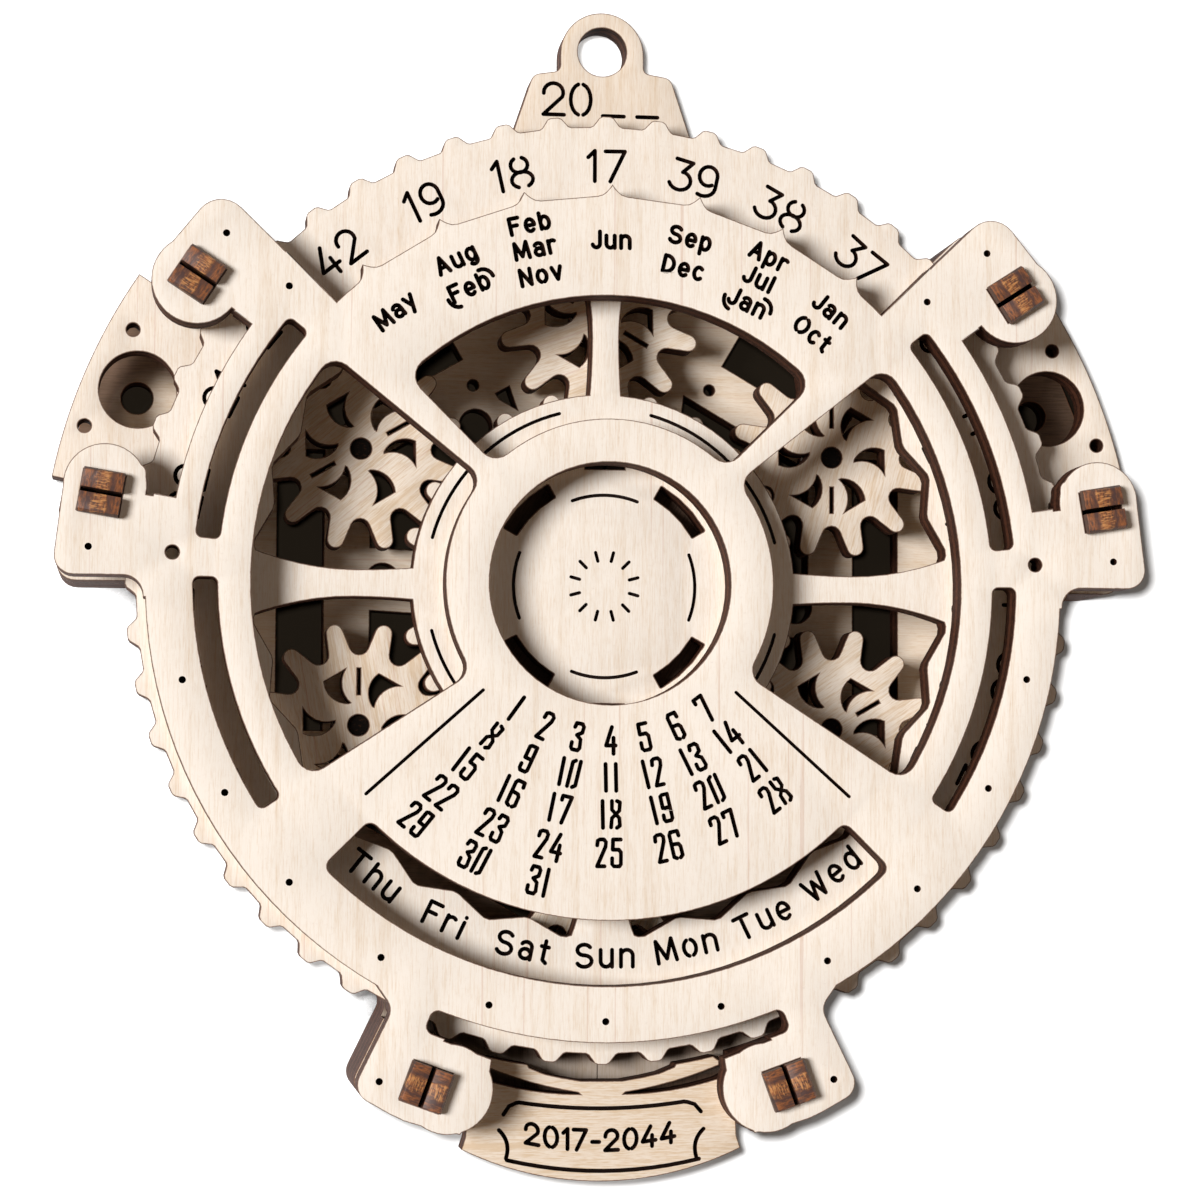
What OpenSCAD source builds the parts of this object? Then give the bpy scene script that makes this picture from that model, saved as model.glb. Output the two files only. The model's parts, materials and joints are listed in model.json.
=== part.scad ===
/* [Sheets] */
// Thickness of every flat piece
sheet_t = 4; // [3.6:0.1:4.2]
// Height of the rear face of the ears and the hanger
ear_z = 7.9; // [7.8:0.1:8.2]
// Height of the rear face of the calendar disc
disc_z = 12.1; // [12:0.1:12.4]
// Height of the rear face of the front plate
front_z = 17.4; // [17:0.1:18]

/* [Front plate] */
// Outer radius of the date ring
ring_r = 50.8; // [50:0.1:51.4]
// Outer radius of the ring between the lobes on each side
notch_r = 48.4; // [48:0.1:49]
// Radius of the valleys of the month edge
month_r = 43; // [42.5:0.1:43.5]
// Height of the pointers of the month edge
month_pointer = 1.3; // [0.8:0.1:1.6]
// Radius of the round hub window
hub_window_r = 13.4; // [13:0.1:14]
// Outer radius of the ring around the hub window
hub_ring_r = 18.2; // [17.5:0.1:19]
// Outer radius of the upper gear window
top_window_r = 31.9; // [30:0.1:33]
// Outer radius of the two side gear windows
side_window_r = 39.4; // [38:0.1:40]
// Outer radius of the weekday window
weekday_window_r = 44.15; // [43.5:0.05:45]
// Inner radius of the weekday window
weekday_window_in_r = 37; // [36.5:0.1:38.5]

/* [Calendar disc] */
// Radius of the disc over its rim bumps
rim_r = 53; // [52.8:0.1:53.2]
// Radius of the rim between two bumps
rim_valley_r = 51.8; // [51.5:0.1:52.2]
// Number of years on the disc
years = 28; // [28]
// Outer radius of the inner ring
inner_ring_r = 21.5; // [21:0.1:22]
// Inner radius of the outer ring at its points
zigzag_in_r = 37.75; // [37:0.05:38]
// Inner radius of the outer ring between its points
zigzag_out_r = 39.1; // [39:0.1:40]

/* [Gears] */
// Distance from the disc axis to each planet axis
planet_orbit = 31.1; // [31:0.05:31.3]
// Teeth on the sun gear
sun_teeth = 24; // [24]
// Teeth on each planet gear
planet_teeth = 12; // [12]
// Tip radius of the sun gear
sun_tip_r = 22.6; // [22.2:0.1:22.7]
// Root radius of the sun gear
sun_root_r = 19.2; // [19:0.1:19.3]
// Tip radius of a planet gear
planet_tip_r = 11.6; // [11.3:0.1:11.7]
// Root radius of a planet gear
planet_root_r = 7.9; // [7.7:0.1:8.1]
// Height of the rear face of the planet gears
planet_z = 6.4; // [6:0.1:7]

/* [Fits] */
// Radial clearance of a wheel on its axle
run_gap = 0.05; // [0.03:0.01:0.1]
// Clearance round a clip in its slot
clip_gap = 0.05; // [0.03:0.01:0.1]

/* [Hanger] */
// Radius of the hanging hole
hang_hole_r = 2.8; // [2.5:0.1:3]
// Height of the hanging hole above the disc axis
hang_y = 61.3; // [60:0.1:62]

/* [Hidden] */
$fn = 96;
face_z = front_z + sheet_t;
wood = "burlywood";
edge_wood = "peru";
// Radii that part the layers: rim clearance, ear foot and the rear ears' outer edge
rim_clear_r = 53.6;
ear_in_r = 45.2;
ear_out_r = 62.3;
rear_ear_r = 61.2;
// Clip places on the right side, numbered upwards from the lower lobe: x, y, angle
CLIP_PLACES = [[19.9, -54.9, -70], [55.6, 9, 9.5], [45.6, 33, 33]];
clip_t = 4.5;
clip_w = 4.4;
clip_head_w = 4.9;
clip_top_z = face_z + 1.5;
slit_w = 0.5;
disc_clip_y = 15.4;
hub_boss_r = 6;
axle_r = 1.15;
small_hole_r = 0.76;
centre_pin_r = 3;
pin_r = 1.5;
pin_gap = 0.03;
HANGER_PINS = [-6, 6];
hanger_pin_y = 47.9;
// Angle of the slits in each planet gear, counted from the one at 30 degrees
PLANET_SLITS = [90, 150, 30, 90, 150, 30];

function polar(r, a) = [r * cos(a), r * sin(a)];
function unit(v) = v / norm(v);
function arc_points(c, r, from, to, steps) =
    [for (i = [0:steps]) c + polar(r, from + (to - from) * i / steps)];

// Points of one corner b of an outline, rounded by its third value
function corner_points(a, b, c) = let(
    p = [b.x, b.y],
    u = unit([a.x, a.y] - p),
    v = unit([c.x, c.y] - p),
    half = acos(u * v) / 2,
    centre = p + unit(u + v) * b.z / sin(half),
    s = p + u * b.z / tan(half) - centre,
    e = p + v * b.z / tan(half) - centre,
    from = atan2(s.y, s.x),
    turn = (atan2(e.y, e.x) - from + 540) % 360 - 180,
    steps = ceil(abs(turn) / 15))
    arc_points(centre, b.z, from, from + turn, steps);

// A closed outline of corners [x, y, radius]
function rounded(corners) = let(n = len(corners))
    [for (i = [0:n - 1])
        each (corners[i].z > 0
            ? corner_points(corners[(i + n - 1) % n], corners[i], corners[(i + 1) % n])
            : [[corners[i].x, corners[i].y]])];

// A piece of a ring with rounded corners
function sector_points(r_in, r_out, a0, a1, round_r) = let(
    out = asin(round_r / (r_out - round_r)),
    in = asin(round_r / (r_in + round_r)),
    steps = ceil((a1 - a0) * r_out / 150))
    concat(
        arc_points(polar(r_out - round_r, a0 + out), round_r, a0 - 90, a0 + out, 5),
        arc_points([0, 0], r_out, a0 + out + 1, a1 - out - 1, steps),
        arc_points(polar(r_out - round_r, a1 - out), round_r, a1 - out, a1 + 90, 5),
        arc_points(polar(r_in + round_r, a1 - in), round_r, a1 + 90, a1 + 180 - in, 5),
        arc_points([0, 0], r_in, a1 - in - 1, a0 + in + 1, steps),
        arc_points(polar(r_in + round_r, a0 + in), round_r, a0 + 180 + in, a0 + 270, 5));

// A gear of round fingers: tips of radius tip_round, gaps of radius gap_round
function gear_points(teeth, tip_r, tip_round, root_r, gap_round) = let(
    pitch = 360 / teeth,
    tip = [tip_r - tip_round, 0],
    gap = polar(root_r + gap_round, pitch / 2),
    lean = atan2(gap.y - tip.y, gap.x - tip.x) - acos((tip_round + gap_round) / norm(gap - tip)))
    [for (i = [0:teeth - 1], p = concat(
            arc_points(tip, tip_round, -lean, lean, 8),
            arc_points(gap, gap_round, lean + 180, pitch + 180 - lean, 6)))
        let(a = i * pitch) [p.x * cos(a) - p.y * sin(a), p.x * sin(a) + p.y * cos(a)]];

// An arc from a to c by way of b
function arc3(a, b, c, steps) = let(
    d = 2 * (a.x * (b.y - c.y) + b.x * (c.y - a.y) + c.x * (a.y - b.y)),
    q = [a * a, b * b, c * c],
    o = [(q.x * (b.y - c.y) + q.y * (c.y - a.y) + q.z * (a.y - b.y)) / d,
         (q.x * (c.x - b.x) + q.y * (a.x - c.x) + q.z * (b.x - a.x)) / d],
    from = atan2(a.y - o.y, a.x - o.x),
    turn = (atan2(c.y - o.y, c.x - o.x) - from + 540) % 360 - 180)
    arc_points(o, norm(a - o), from, from + turn, steps);

// The same outline on both sides of the middle line, as one closed loop
function both_sides(p) = concat(p, [for (i = [len(p) - 1:-1:0]) [-p[i].x, p[i].y]]);

// A layer's children are slabs as thick as the layer, less its cuts
module layer(z, t = sheet_t) {
    $layer_t = t;
    translate([0, 0, z]) children();
}

module slab() {
    linear_extrude($layer_t) children();
}

module cut() {
    translate([0, 0, -1]) linear_extrude($layer_t + 2) children();
}

module mirrored() {
    children();
    mirror([1, 0, 0]) children();
}

module side(left) {
    if (left) mirror([1, 0, 0]) children();
    else children();
}

// ---- outlines of the plates ----

module month_edge() {
    reach = 2.2;
    offs = [-2.2, -1.4, -0.8, -0.35, 0, 0.35, 0.8, 1.4, 2.2];
    step = 360 / years;
    crest = [for (k = [-3:3], o = offs)
        polar(month_r + month_pointer * pow(1 - abs(o) / reach, 2), 90 + k * step + o)];
    polygon(concat([[0, 0]], [polar(month_r, 44.9), polar(month_r, 47)], crest,
        [polar(month_r, 133), polar(month_r, 135.1)]));
}

module upper_lobe() {
    slab() polygon(rounded([[30.4, 30.4, 0], [43.3, 42.9, 3], [49.8, 34.8, 2], [48, 30, 0],
        [42.1, 29.7, 0], [39.6, 27.8, 0], [36, 25, 0]]));
    slab() translate([45.65, 32.55]) circle(r = 4.9, $fn = 64);
}

module side_lobe() {
    slab() polygon(rounded([[46, 8.2, 0], [50.8, 8.9, 0], [50.8, 12, 1], [54, 13, 0],
        [59.5, 11.5, 1], [60.85, 0.15, 2.1], [53.2, 0.15, 0], [50.9, -2.2, 0], [46, -2.2, 0]]));
    slab() translate([55.2, 9.9]) circle(r = 4.5, $fn = 64);
}

// Hollow corner between the side lobe and the date ring
module side_fillet() {
    cut() translate([53.2, -2.05]) circle(r = 2.2, $fn = 48);
}

module lower_lobe() {
    slab() polygon(rounded([[16, -46, 0], [25.4, -43.9, 0], [23.6, -46.5, 1.8], [28, -55.5, 2],
        [22.3, -58.7, 12], [16.2, -60.1, 0], [13.5, -57, 0], [12.8, -52, 0], [18, -50, 0]]));
    slab() translate([17.5, -55.2]) circle(r = 4.9, $fn = 64);
}

module lobe(index) {
    if (index == 0) lower_lobe();
    if (index == 1) difference() {
        side_lobe();
        side_fillet();
    }
    if (index == 2) upper_lobe();
}

module clip_slot(index) {
    p = CLIP_PLACES[index];
    translate([p.x, p.y]) rotate(p.z)
        square([clip_t + 2 * clip_gap, clip_w + 2 * clip_gap], center = true);
}

module wedge(from, to, reach = 90) {
    mid = (from + to) / 2;
    polygon([[0, 0], polar(reach, from), polar(reach, mid), polar(reach, to)]);
}

module front_outline() {
    difference() {
        slab() circle(r = ring_r, $fn = 180);
        cut() wedge(45, 135);
        mirrored() cut() difference() {
            wedge(10.3, 35);
            circle(r = notch_r, $fn = 180);
        }
        cut() difference() {
            wedge(247.6, 292.4);
            circle(r = 50.3, $fn = 180);
        }
    }
    slab() month_edge();
    mirrored() for (i = [0:2]) lobe(i);
}

module front_windows() {
    circle(r = hub_window_r);
    polygon(sector_points(hub_ring_r, top_window_r, 45, 135, 2));
    polygon(sector_points(weekday_window_in_r, weekday_window_r, 224.9, 315.1, 1));
    // Slot between the date ring and the lower lobes
    polygon(sector_points(50.3, 52.9, 247.6, 292.4, 0.9));
    mirrored() {
        polygon(sector_points(hub_ring_r, side_window_r, -33.2, 38.7, 1.9));
        polygon(sector_points(43, 45.65, 5.6, 38.9, 0.7));
        polygon(sector_points(43, 45.65, -33.4, 0.1, 0.7));
        translate([47.9, 2.7]) circle(r = small_hole_r, $fn = 32);
        for (i = [0:2]) clip_slot(i);
    }
}

// ---- fixed plates ----

module front_plate() {
    color(wood) layer(front_z) difference() {
        front_outline();
        cut() front_windows();
    }
}

module rear_outline() {
    slab() circle(r = ring_r, $fn = 180);
    mirrored() {
        for (i = [0:2]) lobe(i);
        slab() intersection() {
            circle(r = rear_ear_r, $fn = 180);
            wedge(8, 34);
        }
    }
}

// Hexagon with flats at 0, 60 and 120 degrees
module hexagon(apothem) {
    polygon([for (i = [0:5]) polar(apothem / cos(30), 30 + 60 * i)]);
}

// One of the outer openings, beside the flat of the hexagon that faces the given angle
module rear_opening(angle, low, high) {
    rotate(angle) translate([30.7, low]) square([5.3, high - low]);
}

module rear_windows() {
    rear_opening(0, -16, 16);
    rear_opening(180, -16, 16);
    rear_opening(240, -16, 16);
    rear_opening(300, -16, 16);
    rear_opening(60, -16, 0.1);
    rear_opening(120, -0.4, 16);
    difference() {
        hexagon(25.4);
        circle(r = 13);
        for (a = [-3, 124, 177, 237, 297]) rotate(a) translate([0, -3.6]) square([40, 7.2]);
        polygon([[-7, 0], [8, 0], [10.8, 23.3], [14, 30], [-14, 30], [-9.6, 23.9], [-8.6, 21.1],
            [-12.5, 23.3], [-13, 18]]);
    }
    for (p = [[24, -3], [23.4, 125], [24, 177]]) translate(polar(p.x, p.y))
        circle(r = 1.9, $fn = 48);
    for (i = [0:5]) rotate(60 * i) translate([27.5, 0]) circle(r = 0.65, $fn = 32);
    for (i = [0:5]) planet_place(i) circle(r = axle_r, $fn = 48);
    mirrored() {
        translate([52, 21.5]) circle(r = 1.8, $fn = 48);
        for (i = [0:2]) clip_slot(i);
    }
    pin_holes();
    circle(r = centre_pin_r, $fn = 48);
}

module back_plate() {
    color(wood) layer(0) difference() {
        rear_outline();
        cut() rear_windows();
    }
}

module ear() {
    color(wood) layer(ear_z) difference() {
        union() {
            slab() intersection() {
                circle(r = ear_out_r, $fn = 180);
                wedge(10.8, 33.6);
            }
            lobe(1);
            lobe(2);
        }
        cut() circle(r = ear_in_r, $fn = 180);
        cut() translate([51.9, 21.5]) circle(r = 4.3, $fn = 64);
        cut() translate([52.5, 28.2]) circle(r = small_hole_r, $fn = 32);
        cut() translate([57.7, 17.35]) circle(r = small_hole_r, $fn = 32);
        cut() clip_slot(1);
        cut() clip_slot(2);
    }
}

module pin_holes() {
    for (x = HANGER_PINS) translate([x, hanger_pin_y]) circle(r = pin_r, $fn = 32);
}

module hanger() {
    color(wood) layer(ear_z) difference() {
        union() {
            slab() translate([0, hang_y - 0.27]) circle(r = 4.77, $fn = 64);
            slab() polygon(both_sides([for (p = rounded([[0, 45.6, 0], [12, 46.2, 0.8],
                [7.9, 58.5, 1.2], [4.77, 59, 0.8], [4.77, 61, 0], [0, 61, 0]])) if (p.x > 0) p]));
        }
        cut() translate([0, hang_y]) circle(r = hang_hole_r, $fn = 64);
        cut() pin_holes();
    }
}

module hanger_spacer() {
    color(wood) layer(sheet_t, ear_z - sheet_t) difference() {
        slab() translate([-11, 45.6]) square([22, 4.6]);
        cut() pin_holes();
    }
}

module hanger_pins() {
    color(edge_wood) for (x = HANGER_PINS) translate([x, hanger_pin_y, 0])
        cylinder(h = ear_z + sheet_t, r = pin_r - pin_gap, $fn = 32);
}

module plaque() {
    color(wood) layer(ear_z + sheet_t) difference() {
        union() {
            slab() intersection() {
                translate([0, -30.3]) circle(r = 35.5, $fn = 180);
                polygon(both_sides([[14.6, -52], [15.1, -60.9], [15.6, -62.4], [15.6, -67]]));
            }
            mirrored() lower_lobe();
        }
        cut() circle(r = rim_clear_r, $fn = 180);
        cut() polygon(both_sides([[2.3, -54.8], [4.6, -54.4], [6.4, -54], [8.1, -53.3], [8.8, -52]]));
        mirrored() {
            // Slit under the spring wing, and the gap at its tip
            cut() polygon(concat(arc3([13.1, -53.1], [7.9, -54.9], [2.6, -56.05], 6),
                arc3([2.4, -56.25], [7.9, -55.8], [13, -54.6], 6),
                [[14.2, -54], [14.2, -51.6], [12.6, -51.6], [12.4, -52.1], [13.1, -52.6]]));
            cut() clip_slot(0);
        }
    }
}

// ---- spacers between the plates ----

// Each lower spacer has an arm that reaches to the middle line, behind the plaque's springs
module lower_spacer() {
    color(wood) layer(ear_z) difference() {
        union() {
            lobe(0);
            slab() difference() {
                intersection() {
                    circle(r = 57, $fn = 180);
                    wedge(270.05, 289);
                }
                circle(r = 49, $fn = 180);
            }
        }
        cut() circle(r = ear_in_r, $fn = 180);
        cut() clip_slot(0);
    }
}

// Outline of the spacer beside the disc, set back from the lobe in front of it
module open_outline(index) {
    if (index == 1) {
        slab() polygon(rounded([[50, 1.1, 0], [59.7, 1.1, 1.1], [58.6, 10.7, 1], [50, 12, 0]]));
        slab() translate([55.2, 9.9]) circle(r = 3.6, $fn = 48);
    } else {
        slab() polygon(rounded([[38, 36.5, 0], [43.1, 41.5, 2], [48.5, 34.8, 1.5], [47, 31, 0],
            [42, 31, 0]]));
        slab() translate([45.65, 32.55]) circle(r = 4.1, $fn = 48);
    }
}

// The spacer beside the disc is open towards the rim, where its clip slot breaks out
module open_spacer(index) {
    p = CLIP_PLACES[index];
    color(wood) layer(ear_z + sheet_t) difference() {
        open_outline(index);
        cut() circle(r = rim_clear_r, $fn = 180);
        cut() clip_slot(index);
        cut() translate([p.x, p.y]) rotate(p.z) translate([-4, -clip_w / 2 - clip_gap])
            square([4, clip_w + 2 * clip_gap]);
    }
}

module rear_spacer(number) {
    index = (number - 1) % 3;
    color(wood) layer(sheet_t, ear_z - sheet_t) side(number > 3) difference() {
        lobe(index);
        cut() circle(r = 49, $fn = 180);
        cut() clip_slot(index);
    }
}

module front_shims() {
    z = ear_z + 2 * sheet_t;
    color(wood) layer(z, front_z - z) mirrored()
        for (i = [0:2]) difference() {
            slab() translate([CLIP_PLACES[i].x, CLIP_PLACES[i].y]) circle(r = 3.9, $fn = 48);
            cut() circle(r = rim_clear_r, $fn = 180);
            cut() clip_slot(i);
        }
}

// Two prongs on a common foot, cut from one sheet; the heads grip the front face
module clip_shape(top, head) {
    linear_extrude(clip_t) polygon(both_sides([[slit_w / 2, 2], [slit_w / 2, top],
        [head / 2 - 0.3, top], [head / 2, top - 0.5], [head / 2, top - 1.4],
        [clip_w / 2, top - 1.45], [clip_w / 2, 0]]));
}

module clip(number) {
    p = CLIP_PLACES[(number - 1) % 3];
    color(edge_wood) side(number > 3) translate([p.x, p.y, 0]) rotate(p.z)
        rotate([90, 0, 90]) translate([0, 0, -clip_t / 2]) clip_shape(clip_top_z, clip_head_w);
}

// ---- the calendar disc and its sun gear ----

module rim_outline() {
    // Angles from a bump's middle, each with its share of the bump's height
    profile = [[-2, 0], [-1.65, 0.13], [-1.25, 0.5], [-0.9, 0.85], [-0.5, 1],
        [0.5, 1], [0.9, 0.85], [1.25, 0.5], [1.65, 0.13], [2, 0]];
    bumps = 2 * years;
    polygon([for (k = [0:bumps - 1], p = profile)
        polar(rim_valley_r + (rim_r - rim_valley_r) * p.y, 90 + k * 360 / bumps + p.x)]);
}

module zigzag() {
    step = 360 / years;
    polygon([for (k = [0:years - 1]) each [
        polar(zigzag_in_r, 90 + k * step - 0.5), polar(zigzag_in_r, 90 + k * step + 0.5),
        polar(zigzag_out_r, 90 + (k + 0.5) * step - 0.5),
        polar(zigzag_out_r, 90 + (k + 0.5) * step + 0.5)]]);
}

// One waisted spoke, narrowest at the neck
module disc_spoke() {
    neck_r = 28;
    side = [for (x = [20:2:40]) [1.5 + (x < neck_r ? 0.006 : 0.0175) * pow(x - neck_r, 2), x]];
    polygon(both_sides(side));
}

module disc_clip_slots() {
    for (s = [-1, 1]) translate([-clip_w / 2 - clip_gap, s * disc_clip_y - clip_t / 2 - clip_gap])
        square([clip_w + 2 * clip_gap, clip_t + 2 * clip_gap]);
}

module calendar_disc() {
    color(wood) layer(disc_z) difference() {
        union() {
            slab() difference() {
                rim_outline();
                zigzag();
            }
            slab() circle(r = inner_ring_r, $fn = 180);
            for (a = [0:90:270]) rotate(a) slab() disc_spoke();
        }
        for (a = [45:90:315]) cut() polygon(sector_points(11.3, 13, a - 15.7, a + 15.7, 0.15));
        cut() disc_clip_slots();
    }
}

module sun_gear() {
    color(wood) layer(ear_z, disc_z - ear_z) slab() difference() {
        polygon(gear_points(sun_teeth, sun_tip_r, 1, sun_root_r, 1.35));
        circle(r = hub_boss_r + run_gap);
        disc_clip_slots();
    }
}

module disc_clip(y) {
    color(edge_wood) translate([0, y, ear_z]) rotate([90, 0, 0]) translate([0, 0, -clip_t / 2])
        clip_shape(disc_z + sheet_t - ear_z, clip_w);
}

module centre_axle() {
    color(edge_wood) {
        cylinder(h = sheet_t, r = centre_pin_r - pin_gap);
        translate([0, 0, sheet_t]) cylinder(h = disc_z - sheet_t - 0.3, r = hub_boss_r);
    }
}

module centre_washer() {
    color(wood) layer(sheet_t, ear_z - sheet_t - 0.3) slab() difference() {
        circle(r = 12);
        circle(r = hub_boss_r + pin_gap);
    }
}

// ---- the planet gears ----

module planet_place(index) {
    translate(polar(planet_orbit, 30 + 60 * index)) children();
}

module crescent() {
    polygon(concat(arc3([6.45, 0], [4.4, 0.85], [2.65, 0.3], 8),
        arc3([2.6, 0.5], [3.5, 2.05], [5.6, 2.65], 8)));
}

module planet_gear(number) {
    slit = PLANET_SLITS[number - 1];
    color(wood) layer(planet_z) planet_place(number - 1) slab() difference() {
        rotate(15) polygon(gear_points(planet_teeth, planet_tip_r, 0.95, planet_root_r, 1.1));
        for (k = [0:5]) rotate(43.5 + 60 * k) crescent();
        for (s = [0, 180]) rotate(slit + s) translate([3.4, -0.2]) square([3, 0.4]);
        circle(r = axle_r + run_gap, $fn = 48);
    }
}

module planet_axle(number) {
    color(edge_wood) planet_place(number - 1)
        cylinder(h = planet_z + sheet_t - 0.7, r = axle_r, $fn = 48);
}

module planet_washer(number) {
    color(wood) layer(sheet_t, planet_z - sheet_t - 0.1) planet_place(number - 1) slab()
        difference() {
            circle(r = 2.8, $fn = 48);
            circle(r = axle_r + pin_gap, $fn = 48);
        }
}

front_plate();
back_plate();
side(true) ear();  // left_ear
ear();  // right_ear
hanger();
plaque();
side(true) open_spacer(2);  // upper_left_spacer
open_spacer(2);  // upper_right_spacer
side(true) open_spacer(1);  // side_left_spacer
open_spacer(1);  // side_right_spacer
side(true) lower_spacer();  // lower_left_spacer
lower_spacer();  // lower_right_spacer
front_shims();
for (i = [1:6]) {
    rear_spacer(i);
    clip(i);
    planet_gear(i);
    planet_axle(i);
    planet_washer(i);
}
hanger_spacer();
hanger_pins();
calendar_disc();
sun_gear();
disc_clip(disc_clip_y);  // upper_disc_clip
disc_clip(-disc_clip_y);  // lower_disc_clip
centre_axle();
centre_washer();
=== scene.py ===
"""Finishes of a layered plywood perpetual calendar: boards, lettering, clips and the studio."""

import json
import math

import bpy
import numpy as np
from mathutils import Matrix, Vector
from mathutils.geometry import delaunay_2d_cdt

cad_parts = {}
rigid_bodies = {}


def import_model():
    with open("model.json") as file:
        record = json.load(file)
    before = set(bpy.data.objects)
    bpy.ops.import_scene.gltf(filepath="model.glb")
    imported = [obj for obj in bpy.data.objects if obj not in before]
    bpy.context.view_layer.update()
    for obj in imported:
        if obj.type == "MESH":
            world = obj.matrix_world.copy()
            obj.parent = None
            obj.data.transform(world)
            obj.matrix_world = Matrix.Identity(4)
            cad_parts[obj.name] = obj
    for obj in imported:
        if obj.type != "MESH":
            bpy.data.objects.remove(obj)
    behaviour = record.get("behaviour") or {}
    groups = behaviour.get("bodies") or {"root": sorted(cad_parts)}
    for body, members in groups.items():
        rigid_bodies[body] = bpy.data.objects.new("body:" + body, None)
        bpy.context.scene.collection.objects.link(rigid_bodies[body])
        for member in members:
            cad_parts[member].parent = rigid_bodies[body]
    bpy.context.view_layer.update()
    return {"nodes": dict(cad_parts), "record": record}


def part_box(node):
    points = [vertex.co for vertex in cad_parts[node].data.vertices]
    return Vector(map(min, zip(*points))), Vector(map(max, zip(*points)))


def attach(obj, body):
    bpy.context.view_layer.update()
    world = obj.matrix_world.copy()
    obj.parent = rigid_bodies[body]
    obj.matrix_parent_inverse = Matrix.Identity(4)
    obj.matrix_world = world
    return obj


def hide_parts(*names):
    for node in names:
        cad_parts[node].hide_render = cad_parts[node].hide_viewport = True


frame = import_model()

bl_info = {
    "name": "Plywood Calendar",
    "version": (1, 0, 0),
    "blender": (4, 5, 0),
    "location": "3D View > Sidebar > Calendar",
    "description": "Finishes the boards, lettering and clips of a layered plywood calendar",
    "category": "Add Mesh",
}

MM = 0.001
YEARS = 28
FIRST_YEAR = 17  # without its century
YEAR_STEP = 360 / YEARS
WEEKDAYS = ("Thu", "Fri", "Sat", "Sun", "Mon", "Tue", "Wed")
CAMERA_AT = (-49.9 * MM, -26.4 * MM, 391.1 * MM)
CAMERA_TURN = (3.725, -7.524, 0.28)
SENSOR = 36  # the width that the lens is given for
BODY_OF = {
    node: body for body, nodes in frame["record"]["behaviour"]["bodies"].items() for node in nodes
}


# ---- settings ----


class CalendarWood(bpy.types.PropertyGroup):
    face: bpy.props.FloatVectorProperty(
        name="Face", description="Pale veneer of the boards", subtype="COLOR", size=3,
        default=(0.95, 0.87, 0.78), min=0, max=1)
    warm: bpy.props.FloatVectorProperty(
        name="Warm streak", description="Warm streaks in the veneer", subtype="COLOR", size=3,
        default=(0.74, 0.57, 0.40), min=0, max=1)
    char: bpy.props.FloatVectorProperty(
        name="Char", description="Laser-burnt edges", subtype="COLOR", size=3,
        default=(0.018, 0.007, 0.004), min=0, max=1)
    ember: bpy.props.FloatVectorProperty(
        name="Scorched ply", description="Less burnt plies of an edge", subtype="COLOR", size=3,
        default=(0.13, 0.048, 0.026), min=0, max=1)
    rim: bpy.props.FloatProperty(
        name="Scorched rim", description="Width of the scorched rim on a face", subtype="DISTANCE",
        unit="LENGTH", default=0.14 * MM, min=0.05 * MM, max=0.3 * MM)
    drop: bpy.props.FloatProperty(
        name="Edge wear", description="How far the rim falls away", subtype="DISTANCE",
        unit="LENGTH", default=0.04 * MM, min=0, max=0.1 * MM)


class CalendarLetters(bpy.types.PropertyGroup):
    depth: bpy.props.FloatProperty(
        name="Depth", description="Depth of the lettering", subtype="DISTANCE", unit="LENGTH",
        default=1.4 * MM, min=0.3 * MM, max=3 * MM)
    stroke: bpy.props.FloatProperty(
        name="Stroke", description="Width of the lettering strokes", subtype="DISTANCE",
        unit="LENGTH", default=0.46 * MM, min=0.2 * MM, max=0.6 * MM)
    line: bpy.props.FloatProperty(
        name="Line", description="Width of the engraved lines", subtype="DISTANCE",
        unit="LENGTH", default=0.38 * MM, min=0.1 * MM, max=0.5 * MM)


class CalendarStage(bpy.types.PropertyGroup):
    key: bpy.props.FloatProperty(
        name="Key", description="Strength of the soft key light", default=3.62, min=0, max=10)
    sky: bpy.props.FloatProperty(
        name="Sky", description="Strength of the warm surroundings", default=0.12, min=0, max=2)
    softness: bpy.props.FloatProperty(
        name="Softness", description="Apparent width of the key light", subtype="ANGLE",
        default=math.radians(21), min=0, max=math.pi)
    fill: bpy.props.FloatProperty(
        name="Fill", description="Strength of the broad light from the upper right",
        default=0.12, min=0, max=5)
    floor_lamp: bpy.props.FloatProperty(
        name="Floor lamp", description="Power of the small lamp that lights only the floor",
        default=19, min=0, max=50)
    lens: bpy.props.FloatProperty(
        name="Lens", description="Focal length", subtype="DISTANCE_CAMERA", default=102,
        min=20, max=300)


# ---- stroke lettering ----
# Strokes are lists of points. A letter is one unit high, and its entry in a font holds its width
# and its strokes. Words and lines on the boards are in millimetres.


def arc(cx, cy, rx, ry, start, end):
    """Points of an arc, counter-clockwise from start to end in degrees when end is greater."""
    degrees = 20 if rx < 2 else 3  # few points on a letter, many on a ring
    steps = max(2, math.ceil(abs(end - start) / degrees))
    angles = [math.radians(start + (end - start) * i / steps) for i in range(steps + 1)]
    return [(cx + rx * math.cos(a), cy + ry * math.sin(a)) for a in angles]


def bow(start, end, rise, steps=12):
    """Points from start to end along a shallow curve that stands off to the left by rise."""
    a, b = Vector(start), Vector(end)
    side = Vector((a.y - b.y, b.x - a.x)).normalized()
    return [a.lerp(b, t / steps) + side * rise * 4 * (t / steps) * (1 - t / steps)
            for t in range(steps + 1)]


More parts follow.
